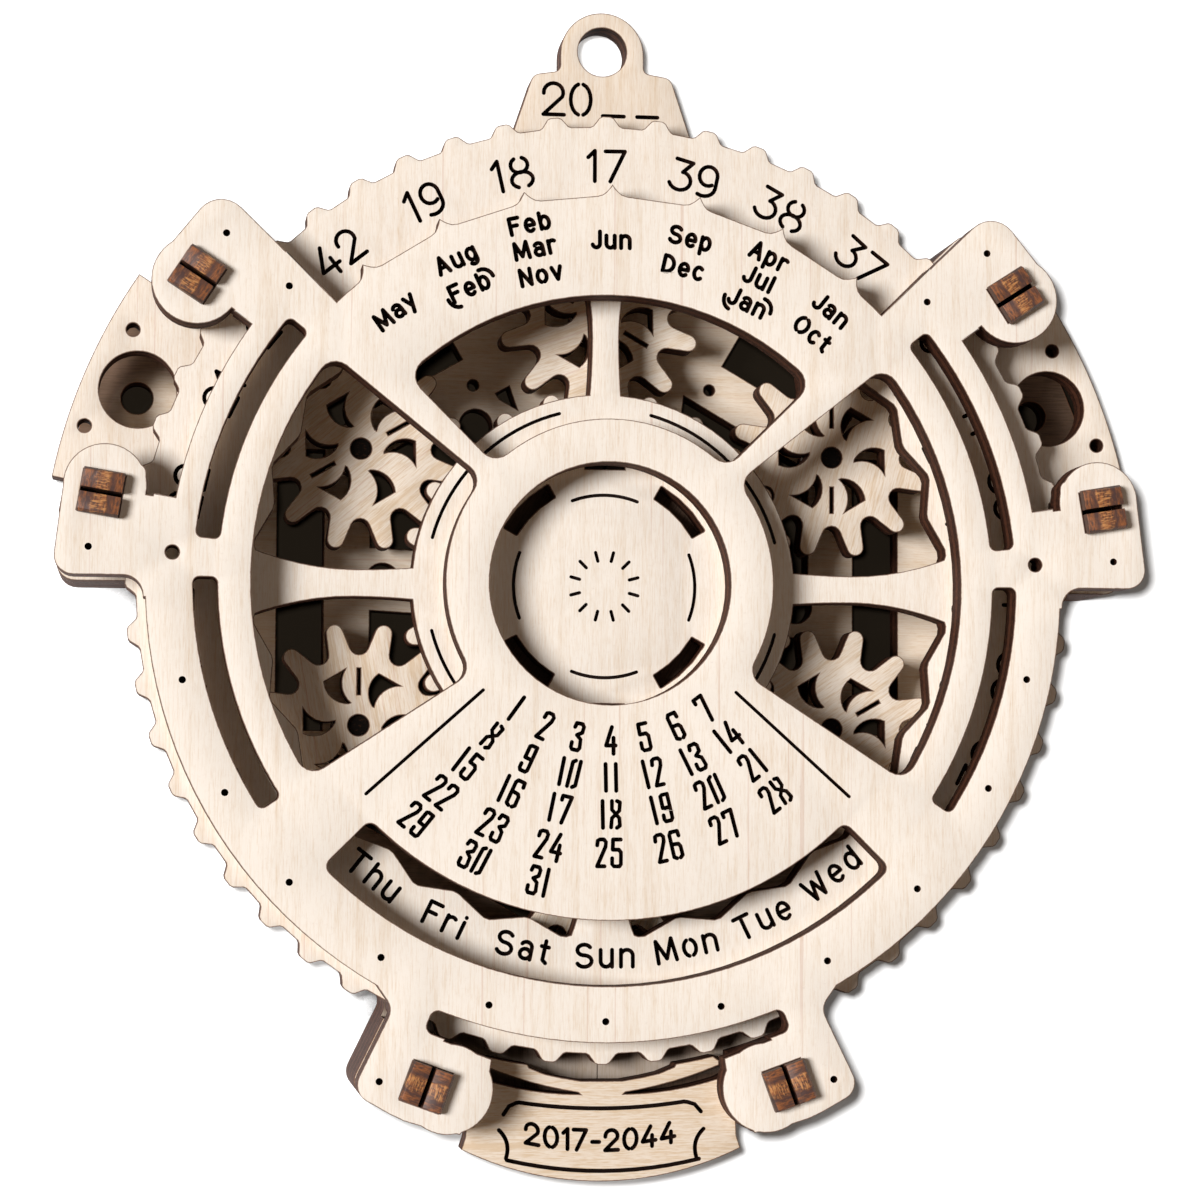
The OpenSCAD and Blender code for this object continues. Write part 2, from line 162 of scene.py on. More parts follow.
X_HEIGHT = 0.76
ROUND_FIGURES = {
    "0": (0.64, [arc(0.32, 0.5, 0.32, 0.5, 104, 256), arc(0.32, 0.5, 0.32, 0.5, -76, 76)]),
    "1": (0.22, [[(0, 0.78), (0.22, 1), (0.22, 0)]]),
    "2": (0.66, [arc(0.32, 0.7, 0.31, 0.3, 185, -25) + [(0, 0), (0.66, 0)]]),
    "3": (0.66, [[(0.06, 1), (0.62, 0.97), (0.34, 0.6)] + arc(0.3, 0.31, 0.36, 0.31, 70, -155)]),
    "4": (0.66, [[(0.4, 1), (0, 0.28), (0.66, 0.28)], [(0.48, 0.55), (0.48, 0)]]),
    "5": (0.64, [[(0.58, 1), (0.1, 1), (0.05, 0.56)] + arc(0.3, 0.32, 0.34, 0.32, 115, -150)]),
    "6": (0.62, [arc(0.32, 0.32, 0.3, 0.32, 125, -170) + arc(0.4, 0.67, 0.38, 0.33, 180, 65)]),
    "7": (0.64, [[(0, 0.99), (0.64, 1), (0.16, 0)]]),
    "8": (0.7, [arc(0.34, 0.75, 0.28, 0.25, 118, 422), arc(0.35, 0.26, 0.35, 0.26, -62, 242)]),
    "9": (0.62, [arc(0.3, 0.68, 0.3, 0.32, -55, -350) + arc(0.22, 0.33, 0.38, 0.33, 0, -115)]),
    "-": (0.36, [[(0, 0.42), (0.36, 0.42)]]),
}
STENCIL_FIGURES = {
    "0": (0.3, [[(0.13, 1), (0.03, 0.93), (0, 0)], [(0.32, 1), (0.3, 0.08), (0.19, 0)]]),
    "1": (0.14, [[(0.06, 1), (0.08, 0)]]),
    "2": (0.32, [[(0, 0.78), (0.02, 0.95), (0.1, 1), (0.25, 1), (0.33, 0.9), (0.31, 0.72), (0, 0),
                  (0.28, 0)]]),
    "3": (0.32, [[(0, 0.84), (0.04, 1), (0.26, 1), (0.33, 0.9), (0.31, 0.68), (0.13, 0.56),
                  (0.3, 0.42), (0.33, 0.1), (0.27, 0), (0.06, 0), (0, 0.08), (0, 0.26)]]),
    "4": (0.36, [[(0.22, 1), (0, 0.31), (0.36, 0.31)], [(0.28, 0.6), (0.28, 0)]]),
    "5": (0.33, [[(0.32, 1), (0.03, 1), (0.02, 0.62), (0.25, 0.62), (0.33, 0.52), (0.33, 0.08),
                  (0.27, 0), (0.07, 0), (0, 0.08), (0, 0.3)]]),
    "6": (0.34, [[(0.34, 0.82), (0.32, 1), (0.06, 1), (0, 0.9), (0.01, 0.06), (0.11, 0)],
                 [(0.03, 0.54), (0.27, 0.52), (0.33, 0.42), (0.34, 0.08), (0.25, 0)]]),
    "7": (0.35, [[(0, 0.84), (0.01, 1), (0.35, 1), (0.16, 0)]]),
    "8": (0.34, [[(0.03, 1), (0.03, 0.68), (0.31, 0.36), (0.33, 0.08), (0.22, 0)],
                 [(0.22, 1), (0.33, 0.95), (0.31, 0.64), (0.03, 0.36), (0, 0.02)]]),
    "9": (0.33, [[(0.24, 0.5), (0.03, 0.5), (0.03, 0.95), (0.1, 1), (0.3, 1), (0.31, 0.08),
                  (0.25, 0), (0.05, 0), (0, 0.08), (0, 0.24)]]),
}
LETTERS = {
    "A": (0.66, [[(0, 0), (0.32, 1), (0.66, 0)], [(0.14, 0.36), (0.48, 0.36)]]),
    "D": (0.62, [[(0, 1), (0, 0)], [(0.14, 1)] + arc(0.14, 0.5, 0.48, 0.5, 80, -90) + [(0, 0)]]),
    "F": (0.56, [[(0.56, 1), (0, 1), (0, 0)], [(0.04, 0.54), (0.44, 0.54)]]),
    "J": (0.46, [[(0.46, 1), (0.46, 0.24)] + arc(0.23, 0.24, 0.23, 0.24, 0, -165)]),
    "M": (0.86, [[(0, 0), (0.06, 1), (0.42, 0.14), (0.78, 1), (0.86, 0)]]),
    "N": (0.64, [[(0, 0), (0.02, 1), (0.6, 0.02), (0.64, 1)]]),
    "O": (0.76, [arc(0.38, 0.5, 0.38, 0.5, 108, 252), arc(0.38, 0.5, 0.38, 0.5, -72, 72)]),
    "S": (0.7, [arc(0.36, 0.76, 0.31, 0.24, 30, 260) + arc(0.36, 0.26, 0.34, 0.26, 85, -155)]),
    "T": (0.7, [[(0, 1), (0.7, 1)], [(0.35, 1), (0.35, 0)]]),
    "W": (0.94, [[(0, 1), (0.22, 0), (0.47, 0.8), (0.7, 0), (0.94, 1)]]),
    "a": (0.5, [arc(0.24, 0.53, 0.25, 0.23, 150, 0) + [(0.5, 0)],
                arc(0.24, 0.22, 0.24, 0.22, 30, 335)]),
    "b": (0.52, [[(0, 1), (0, 0)], arc(0.27, 0.37, 0.26, 0.38, -160, 160)]),
    "c": (0.5, [arc(0.27, 0.38, 0.27, 0.38, 50, 310)]),
    "d": (0.52, [[(0.52, 1), (0.52, 0)], arc(0.26, 0.37, 0.26, 0.38, 20, 340)]),
    "e": (0.54, [[(0.03, 0.38), (0.53, 0.38)] + arc(0.27, 0.38, 0.27, 0.38, 15, 310)]),
    "g": (0.52, [arc(0.26, 0.4, 0.26, 0.36, 20, 340),
                 [(0.52, X_HEIGHT), (0.52, 0)] + arc(0.27, 0, 0.25, 0.24, 0, -140)]),
    "h": (0.52, [[(0, 1), (0, 0)], arc(0.26, 0.5, 0.26, 0.26, 170, 0) + [(0.52, 0)]]),
    "i": (0.0, [[(0, X_HEIGHT), (0, 0)], [(0, 0.99), (0, 1)]]),
    "l": (0.0, [[(0, 1), (0, 0)]]),
    "n": (0.54, [[(0, 0), (0, X_HEIGHT)], arc(0.27, 0.5, 0.27, 0.26, 170, 0) + [(0.54, 0)]]),
    "o": (0.56, [arc(0.28, 0.38, 0.28, 0.38, 110, 250), arc(0.28, 0.38, 0.28, 0.38, -70, 70)]),
    "p": (0.52, [[(0, X_HEIGHT), (0, -0.3)], arc(0.26, 0.38, 0.26, 0.38, -155, 155)]),
    "r": (0.38, [[(0, 0), (0, X_HEIGHT)], arc(0.24, 0.5, 0.24, 0.26, 170, 55)]),
    "t": (0.34, [[(0.16, 0.98), (0.16, 0.12), (0.32, 0)], [(0, 0.72), (0.34, 0.72)]]),
    "u": (0.52, [[(0, X_HEIGHT)] + arc(0.25, 0.25, 0.25, 0.25, 180, 330),
                 [(0.52, X_HEIGHT), (0.52, 0)]]),
    "v": (0.54, [[(0, X_HEIGHT), (0.27, 0), (0.54, X_HEIGHT)]]),
    "y": (0.54, [[(0, X_HEIGHT), (0.27, 0.08)], [(0.54, X_HEIGHT), (0.12, -0.28)]]),
}


def write(font, text, height, gap):
    """Strokes of a word whose middle is at the origin, and its half width."""
    strokes, pen = [], 0
    for sign in text:
        width, parts = font[sign]
        strokes += [[(pen + x * height, (y - 0.5) * height) for x, y in part] for part in parts]
        pen += width * height + gap
    half = (pen - gap) / 2
    return [[(x - half, y) for x, y in stroke] for stroke in strokes], half


def place(strokes, radius, angle, tops_out=True, shift=0.0):
    """Strokes set round the axis, with their tops away from it or towards it, and moved sideways
    by shift."""
    spot = Matrix.Rotation(math.radians(angle), 2) @ Vector((radius, 0))
    turn = Matrix.Rotation(math.radians(angle - 90 if tops_out else angle + 90), 2)
    return [[spot + turn @ Vector((x + shift, y)) for x, y in stroke] for stroke in strokes]


def year_order():
    """The year in each of the disc's places, counted from the top. A leap year moves itself and
    the years after it one place on, and a year past the last place takes the first free one that
    has its weekdays."""
    slots = {}
    for year in range(FIRST_YEAR, FIRST_YEAR + YEARS):
        leaps = year // 4 - FIRST_YEAR // 4
        slot = year - FIRST_YEAR + leaps
        if slot >= YEARS:
            week = len(WEEKDAYS)
            slot = min(s for s in range(slot % week, YEARS, week) if s not in slots)
        slots[slot] = year
    return slots


def year_strokes():
    """The years round the disc's rim, which end level at the right of their places."""
    height, gap, gap_after_one, radius, right_end = 3.45, 0.82, 1.2, 47.35, 2.1
    strokes = []
    for slot, year in year_order().items():
        text = str(year)
        word, half = write(ROUND_FIGURES, text, height, gap_after_one if text[0] == "1" else gap)
        strokes += place(word, radius, 90 + slot * YEAR_STEP, shift=right_end - half)
    return strokes


def weekday_strokes():
    """The seven weekdays over and over, one for each year's place on the disc."""
    height, gap, radius, middle = 2.45, 1.0, 41.0, 270.3
    centre = len(WEEKDAYS) // 2
    strokes = []
    for index, day in enumerate(WEEKDAYS * (YEARS // len(WEEKDAYS))):
        word, _ = write(LETTERS, day, height, gap)
        strokes += place(word, radius, middle + (index - centre) * YEAR_STEP, tops_out=False)
    return strokes


def month_strokes():
    """The months in columns below the years, the two for leap years between brackets."""
    height, gap, middle, fan = 1.78, 0.72, 90.2, 12.95
    columns = [["May"], ["Aug", "Feb"], ["Feb", "Mar", "Nov"], ["Jun"], ["Sep", "Dec"],
               ["Apr", "Jul", "Jan"], ["Jan", "Oct"]]
    row_radii = {1: [38.1], 2: [39.5, 36.1], 3: [40.75, 37.95, 34.95]}
    for_leap_years = {(1, 1), (5, 2)}
    strokes = []
    for column, months in enumerate(columns):
        angle = middle - (column - 3) * fan
        for row, month in enumerate(months):
            word, half = write(LETTERS, month, height, gap)
            if (column, row) in for_leap_years:
                word.append(arc(-half + 0.55, -0.35, 1.1, 1.25, 180, 265))
                word.append(arc(half - 0.35, 0.05, 1.15, 1.2, 95, 0))
            strokes += place(word, row_radii[len(months)][row], angle)
    return strokes


def date_strokes():
    """The dates in a fan of five rows, each with its radius, its spread and its middle."""
    height, gap, last = 2.93, 0.72, 31
    rows = [(17.3, 12.35, 270.3), (21.35, 12.6, 270.3), (25.4, 12.8, 270.2),
            (29.6, 12.86, 269.9), (33.6, 12.9, 269.5)]
    strokes = []
    for date in range(1, last + 1):
        row, column = divmod(date - 1, len(WEEKDAYS))
        radius, fan, middle = rows[row]
        word, _ = write(STENCIL_FIGURES, str(date), height, gap)
        strokes += place(word, radius, middle + (column - 3) * fan, tops_out=False)
    return strokes


def plaque_strokes():
    """The range of years on a slight curve, and the frame round it."""
    height, gap, left, down, curve = 2.2, 0.66, 0.15, 61.3, 0.013
    word, _ = write(ROUND_FIGURES, "2017-2044", height, gap)
    strokes = [[(x - left, y - down + curve * x * x) for x, y in stroke] for stroke in word]
    strokes.append([(-10.9, -58.4), (-10.3, -57.5), (-9.5, -57.15)]
                   + bow((-9.2, -57.1), (9.2, -57.1), -0.7)
                   + [(9.6, -57.15), (10.4, -57.4), (11.1, -58.2)])
    strokes.append(bow((-10.5, -63.4), (10.9, -63.4), -1.25))
    for side in (-1, 1):
        strokes.append(bow((side * 11.4, -60.1), (side * 10.6, -63.2), side * -0.5))
    return strokes


def hanger_strokes():
    """The century, and two blanks for the year."""
    height, gap, left_end, middle, foot = 3.6, 0.75, -6.7, 55.75, 53.95
    word, half = write(ROUND_FIGURES, "20", height, gap)
    strokes = [[(x + left_end + half, y + middle) for x, y in stroke] for stroke in word]
    return strokes + [[(start, foot), (end, foot)] for start, end in ((0.1, 2.55), (4.05, 6.4))]


def hub_strokes():
    """Two broken rings on the hub, and a ring of ticks in its middle."""
    quarters = range(0, 360, 90)
    strokes = [arc(0, 0, 10.2, 10.2, a - 21, a + 21) for a in quarters]
    strokes += [arc(0, 0, 19.95, 19.95, a + 15, a + 75) for a in quarters]
    ticks, first, inner, outer = 12, 15, 2.9, 3.9
    strokes += [[(inner * math.cos(a), inner * math.sin(a)),
                 (outer * math.cos(a), outer * math.sin(a))]
                for a in (math.radians(first + 360 / ticks * i) for i in range(ticks))]
    return strokes


def fan_strokes():
    """The lines on the left and right of the dates."""
    return [[(side * 26.7, -23.3), (side * 14, -11.9)] for side in (-1, 1)]


def dot_strokes():
    """Very short strokes, each a round dot, below the dial and beside the clips."""
    ring_radius = 47.96
    ring = (-166.6, -151, -136.7, -121.3, -105.9, -90.4, -75, -59.6, -44.2, -27.7, -12.2)
    pairs = ((56.8, 41.6), (47.9, 42), (57, 3.2), (59.8, -65.3))
    spots = [(ring_radius, angle) for angle in ring]
    spots += [(radius, a) for radius, angle in pairs for a in (angle, 180 - angle)]
    dots = []
    for radius, angle in spots:
        x, y = radius * math.cos(math.radians(angle)), radius * math.sin(math.radians(angle))
        dots.append([(x, y), (x + 0.01, y)])
    return dots


# ---- selecting and modifiers ----


def deselect_all():
    """Deselects every object."""
    bpy.ops.object.select_all(action="DESELECT")


def select_only(thing):
    """Makes one object the selected and the active one."""
    deselect_all()
    thing.select_set(True)
    bpy.context.view_layer.objects.active = thing


def apply(thing, kind, **settings):
    """Adds a modifier with these settings and applies it."""
    select_only(thing)
    modifier = thing.modifiers.new(kind.title(), kind)
    for key, value in settings.items():
        setattr(modifier, key, value)
    bpy.ops.object.modifier_apply(modifier=modifier.name)


# ---- engraving ----


def sharp_parts(points):
    """A stroke split where it turns sharply, so that each part is one smooth ribbon."""
    sharp = math.radians(50)
    points = [Vector(p) for p in points]
    parts, part = [], [points[0]]
    for before, here, after in zip(points, points[1:], points[2:]):
        part.append(here)
        if (here - before).angle(after - here, 0) > sharp:
            parts.append(part)
            part = [here]
    return parts + [part + [points[-1]]]


def ribbon(points, half):
    """The outline of a stroke with round ends, counter-clockwise, half its width from its line."""
    ways = [(b - a).normalized() for a, b in zip(points, points[1:])]
    ways = [ways[0]] + [(a + b).normalized() for a, b in zip(ways, ways[1:])] + [ways[-1]]
    right = [p + half * Vector((w.y, -w.x)) for p, w in zip(points, ways)]
    left = [p - half * Vector((w.y, -w.x)) for p, w in zip(points, ways)]
    caps = []
    for centre, way, turn in ((points[-1], ways[-1], 0), (points[0], ways[0], math.pi)):
        angle = math.atan2(way.y, way.x) + turn
        caps.append([centre + half * Vector((math.cos(angle + math.radians(t)),
                                             math.sin(angle + math.radians(t))))
                     for t in range(-60, 61, 30)])
    return right + caps[0] + left[::-1] + caps[1]


def cutter(strokes, width, top, depth):
    """A solid of all these strokes that reaches depth below the height top. Strokes and width are
    in millimetres, top and depth in metres."""
    clearance = MM
    outlines = [ribbon(part, width / 2) for stroke in strokes for part in sharp_parts(stroke)]
    points = [p for outline in outlines for p in outline]
    faces, at = [], 0
    for outline in outlines:
        faces.append(list(range(at, at + len(outline))))
        at += len(outline)
    inside_only, tolerance = 1, 1e-6
    spots, _, triangles, _, _, origins = delaunay_2d_cdt(points, [], faces, inside_only, tolerance)
    triangles = [corners for corners, origin in zip(triangles, origins) if origin]
    mesh = bpy.data.meshes.new("strokes")
    mesh.from_pydata([(p.x * MM, p.y * MM, top + clearance) for p in spots], [], triangles)
    tool = bpy.data.objects.new("strokes", mesh)
    bpy.context.scene.collection.objects.link(tool)
    apply(tool, "SOLIDIFY", thickness=depth + clearance, offset=-1)
    bpy.ops.object.mode_set(mode="EDIT")
    bpy.ops.mesh.select_all(action="SELECT")
    bpy.ops.mesh.normals_make_consistent(inside=False)
    bpy.ops.object.mode_set(mode="OBJECT")
    return tool


def engrave(board, strokes, width, depth):
    """Cuts strokes of this width and depth, in metres, into a board's front face."""
    tool = cutter(strokes, width / MM, max(v.co.z for v in board.data.vertices), depth)
    apply(board, "BOOLEAN", object=tool, operation="DIFFERENCE", solver="MANIFOLD")
    bpy.data.objects.remove(tool)


# ---- boards ----


def board_copy(node):
    """A merged copy of a board, ready to be worked."""
    merged = 0.002 * MM
    board = frame["nodes"][node].copy()
    board.data = board.data.copy()
    board.name = node + "_board"
    board.parent = None
    for key in list(board.keys()):
        del board[key]
    bpy.context.scene.collection.objects.link(board)
    select_only(board)
    bpy.ops.mesh.customdata_custom_splitnormals_clear()
    bpy.ops.object.mode_set(mode="EDIT")
    bpy.ops.mesh.select_all(action="SELECT")
    bpy.ops.mesh.remove_doubles(threshold=merged)
    bpy.ops.object.mode_set(mode="OBJECT")
    return board


def facing(board):
    """Each face's normal z and centre z."""
    count = len(board.data.polygons)
    normals, centres = np.empty(count * 3), np.empty(count * 3)
    board.data.polygons.foreach_get("normal", normals)
    board.data.polygons.foreach_get("center", centres)
    return normals[2::3], centres[2::3]


def edit_faces(board, chosen):
    """Enters edit mode with just these faces selected."""
    select_only(board)
    bpy.context.tool_settings.mesh_select_mode = (False, False, True)
    bpy.ops.object.mode_set(mode="EDIT")
    bpy.ops.mesh.select_all(action="DESELECT")
    bpy.ops.object.mode_set(mode="OBJECT")
    board.data.polygons.foreach_set("select", chosen)
    bpy.ops.object.mode_set(mode="EDIT")


def scorch_rims(board, rim, drop):
    """Insets both faces of a board, and lets the outline of each fall away a little."""
    level, skin = 0.99, 0.1 * MM
    for up in (1, -1):
        slope, height = facing(board)
        flat = (slope * up > level) & (height * up > (height * up).max() - skin)
        edit_faces(board, flat)
        bpy.ops.mesh.inset(thickness=rim, use_boundary=True, use_even_offset=True)
        bpy.ops.mesh.select_more(use_face_step=True)
        bpy.ops.mesh.region_to_loop()
        bpy.ops.transform.translate(value=(0, 0, -up * drop))
        bpy.ops.object.mode_set(mode="OBJECT")


def mark_edges(board):
    """Stores where the wood is burnt: 2 in the engravings, 1 on walls and outlines, else 0."""
    steep, skin = 0.5, 0.3 * MM
    mesh = board.data
    slope, _ = facing(board)
    wall = np.abs(slope) < steep
    low, high = (f(v.co.z for v in mesh.vertices) for f in (min, max))
    middle = (low + high) / 2
    outline = set()
    for face in mesh.polygons:
        if wall[face.index]:
            heights = [mesh.vertices[v].co.z for v in face.vertices]
            if min(heights) < middle < max(heights) and min(heights) < low + skin:
                outline.update(face.vertices)
    burnt = np.zeros(len(mesh.loops), np.float32)
    for face in mesh.polygons:
        sunk = low + skin < face.center.z < high - skin
        for loop in face.loop_indices:
            edge = wall[face.index] or mesh.loops[loop].vertex_index in outline
            burnt[loop] = 2 if sunk else 1 if edge else 0
    layer = mesh.attributes.new("burnt", "FLOAT", "CORNER")
    layer.data.foreach_set("value", burnt)


def finish_board(board, node, material):
    """Gives a worked board its finish, its body and its place in the calendar."""
    mark_edges(board)
    board.data.materials.clear()
    board.data.materials.append(material)
    select_only(board)
    bpy.ops.object.shade_smooth_by_angle(angle=math.radians(35))
    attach(board, BODY_OF[node])
    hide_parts(node)


# ---- materials ----

STREAK = (0.62, 0.36, 0.25)
# colours of the painted shade on boards that lie deep inside the calendar
PAINTED_SHADE_BROWN = (0.10, 0.05, 0.027)
PAINTED_SHADE_BLACK = (0.045, 0.021, 0.011)
BROWNED_RIM = (0.40, 0.22, 0.12)
BURNT_RIM = (0.09, 0.035, 0.02)
BURNT_LETTER = (0.012, 0.005, 0.003)
CLIP_DARK = (0.05, 0.014, 0.005)
CLIP_BROWN = (0.30, 0.095, 0.024)
CLIP_CORE = (0.52, 0.23, 0.075)
CLIP_GLUE = (0.045, 0.012, 0.006)
CLIP_RIM = (0.02, 0.006, 0.003)
PIN_DARK = (0.006, 0.004, 0.003)
PIN_BROWN = (0.05, 0.022, 0.012)
FLOOR_WHITE = (0.4, 0.4, 0.4)
# painted shadow on the floor under the calendar
FLOOR_PAINTED_SHADOW = (0.004, 0.003, 0.002)
ROOM = (1, 0.72, 0.5, 1)
WHITE = (1, 1, 1, 1)


class Wire:
    """A value in a material, on which arithmetic adds Math nodes."""

    def __init__(self, recipe, socket):
        self.recipe, self.socket = recipe, socket

    def math(self, operation, *others):
        values = {0: self, **{i + 1: other for i, other in enumerate(others)}}
        return self.recipe.node("ShaderNodeMath", {"operation": operation}, values)

    def __add__(self, other):
        return self.math("ADD", other)

    def __sub__(self, other):
        return self.math("SUBTRACT", other)

    def __mul__(self, other):
        return self.math("MULTIPLY", other)

    def __truediv__(self, other):
        return self.math("DIVIDE", other)

    def __rsub__(self, other):
        return self.recipe.node("ShaderNodeMath", {"operation": "SUBTRACT"}, {0: other, 1: self})

    __radd__, __rmul__ = __add__, __mul__

    def step(self, low, high):
        """0 below low and 1 above high, with a smooth rise between them."""
        return self.recipe.node(
            "ShaderNodeMapRange", {"interpolation_type": "SMOOTHSTEP", "clamp": True},
            {"Value": self, "From Min": low, "From Max": high, "To Min": 0.0, "To Max": 1.0})


class Recipe:
    """The node tree of a new material or world."""

    def __init__(self, owner):
        owner.use_nodes = True
        self.owner, self.tree = owner, owner.node_tree
        self.tree.nodes.clear()

    def node(self, kind, settings=None, values=None, output=0):
        """Adds a node, and gives one of its outputs by name or number."""
        made = self.tree.nodes.new(kind)
        for key, value in (settings or {}).items():
            setattr(made, key, value)
        for key, value in (values or {}).items():
            socket = made.inputs[key]
            if isinstance(value, Wire):
                self.tree.links.new(value.socket, socket)
            else:
                socket.default_value = value
        return Wire(self, made.outputs[output])

    def mix(self, factor, first, second):
        """Mixes two colours, whose sockets have no names of their own on a Mix node."""
        first, second = (v if isinstance(v, Wire) else (*v, 1) for v in (first, second))
        return self.node("ShaderNodeMix", {"data_type": "RGBA"},
                         {0: factor, 6: first, 7: second}, output=2)

    def axis(self, name, where):
        """One coordinate of a vector: X, Y or Z."""
        return self.node("ShaderNodeSeparateXYZ", None, {"Vector": where}, output=name)

    def burnt(self):
        """Where the wood is burnt, as mark_edges stored it."""
        return self.node("ShaderNodeAttribute", {"attribute_name": "burnt"}, output="Fac")

    def bump(self, strength, depth, relief):
        return self.node("ShaderNodeBump", None,
                         {"Strength": strength, "Distance": depth, "Height": relief})

    def noise(self, where, scale, detail=2.0, roughness=0.5):
        return self.node("ShaderNodeTexNoise", None, {"Vector": where, "Scale": scale,
                                                      "Detail": detail, "Roughness": roughness})

    def stretched(self, where, x, y, z):
        return self.node("ShaderNodeMapping", None, {"Vector": where, "Scale": (x, y, z)})

    def surface(self, values):
        """Ends a material in a Principled surface with these values, and gives the material."""
        shader = self.node("ShaderNodeBsdfPrincipled", None, values)
        self.finish("ShaderNodeOutputMaterial", shader)
        return self.owner

    def finish(self, kind, shader):
        output = self.tree.nodes.new(kind)
        self.tree.links.new(shader.socket, output.inputs["Surface"])


def in_millimetres(recipe, place_at=(0, 0), angle=0.0):
    """Object coordinates in millimetres, counted from a place and turned by an angle in degrees."""
    where = recipe.node("ShaderNodeTexCoord", output="Object")
    x, y = place_at
    return recipe.node("ShaderNodeMapping", {"vector_type": "TEXTURE"},
                       {"Vector": where, "Location": (x * MM, y * MM, 0),
                        "Rotation": (0, 0, math.radians(angle)), "Scale": (MM, MM, MM)})


def distance(recipe, place_at=(0, 0)):
    """Distance in plan from a place, in millimetres."""
    where = recipe.stretched(in_millimetres(recipe, place_at), 1, 1, 0)
    return recipe.node("ShaderNodeVectorMath", {"operation": "LENGTH"}, {0: where},
                       output="Value")


def ply_material(name, low, high, grain=90.0, warmth=0.0, figure=1.0, painted_shade=(), lit_spot=None):
    """Plywood with veneered faces and laser-burnt walls, for a board between two heights.
    grain is the direction of the veneer's grain in degrees from +X, and figure its strength.
    The rings of painted shade on the front face, where shade falls on a board deep inside, each
    give the x and y of their centre, their inner and outer radius in millimetres and their depth
    from 0 to
    1; the lit spot, where light falls, gives the x, y and radius of a spot that the painted shade
    leaves out."""
    wood = bpy.context.scene.calendar_wood
    r = Recipe(bpy.data.materials.new(name))
    turned = in_millimetres(r, angle=grain - 90)

    # veneer, streaked along its grain
    fibres = r.noise(r.stretched(turned, 5.5, 0.30, 1), 1.0, 3.0, 0.6)
    hairs = r.noise(r.stretched(turned, 9.0, 0.9, 1), 1.0, 1.0, 0.5)
    bands = r.noise(r.stretched(turned, 0.75, 0.02, 1), 1.0, 3.0, 0.6)
    clouds = r.noise(turned, 0.09, 2.0)
    streak = r.noise(r.stretched(turned, 2.2, 0.018, 1), 1.0, 1.0, 0.4).step(0.70, 0.76)
    warm = ((fibres.step(0.42, 0.72) * 0.34 + hairs.step(0.45, 0.75) * 0.22
             + bands.step(0.46, 0.75) * 0.30) * figure + clouds.step(0.5, 0.8) * 0.12 + warmth)
    face = r.mix(warm.math("MINIMUM", 1.0), wood.face, wood.warm)
    face = r.mix(streak * 0.32, face, STREAK)

    # painted shade on the front face, darkening it where shade falls deep inside the calendar
    up = r.axis("Z", r.node("ShaderNodeNewGeometry", output="Normal"))
    for x, y, inner, outer, strength in painted_shade:
        ragged = distance(r, (x, y)) + (clouds - 0.5) * 2
        char_and_painted_shade = ragged.step(inner - 1, inner + 1) * ragged.step(outer + 1, outer - 1)
        char_and_painted_shade = char_and_painted_shade * up.step(0.4, 0.6) * strength
        if lit_spot:
            char_and_painted_shade = char_and_painted_shade * distance(r, lit_spot[:2]).step(lit_spot[2] - 2, lit_spot[2] + 2)
        face = r.mix(char_and_painted_shade, face, r.mix(fibres.step(0.4, 0.7), PAINTED_SHADE_BROWN, PAINTED_SHADE_BLACK))

    # walls, with charred outer plies and glue lines round a browner middle ply
    wall = 1 - up.math("ABSOLUTE").step(0.4, 0.6)
    height = r.axis("Z", turned) * MM
    wobble = (r.noise(turned, 1.3, 3.0) - 0.5) * 0.10
    ply = ((height - low) / (high - low) + wobble - 0.5).math("ABSOLUTE")
    middle = ply.step(0.20, 0.14)
    streaks = r.noise(r.stretched(turned, 2.6, 2.6, 9), 1.0, 3.0, 0.6)
    glue = (ply - 0.17).math("ABSOLUTE").step(0.03, 0.012)
    glow = streaks.step(0.42, 0.70) * 0.8 + middle * 0.35 - glue * 0.8
    edge = r.mix(glow.math("MAXIMUM", 0.0).math("MINIMUM", 1.0), wood.char, wood.ember)

    # scorched rims and burnt lettering
    burnt = r.burnt()
    patchy = r.noise(turned, 2.4, 3.0, 0.6) - 0.5
    rim = (burnt + patchy * 0.8).step(0.15, 0.65) * (1 - wall)
    halo = (burnt + patchy * 0.5).step(0.0, 0.5) * (1 - wall)
    color = r.mix(halo * 0.5, face, BROWNED_RIM)
    color = r.mix(rim * 0.85, color, BURNT_RIM)
    color = r.mix(burnt.step(1.2, 1.6), color, BURNT_LETTER)
    color = r.mix(wall, color, edge)
    relief = fibres * 0.6 + hairs * 0.4 + streaks * wall * 1.5
    return r.surface({"Base Color": color, "Roughness": 0.72, "Specular IOR Level": 0.1,
                      "Normal": r.bump(0.35, 0.03 * MM, relief)})


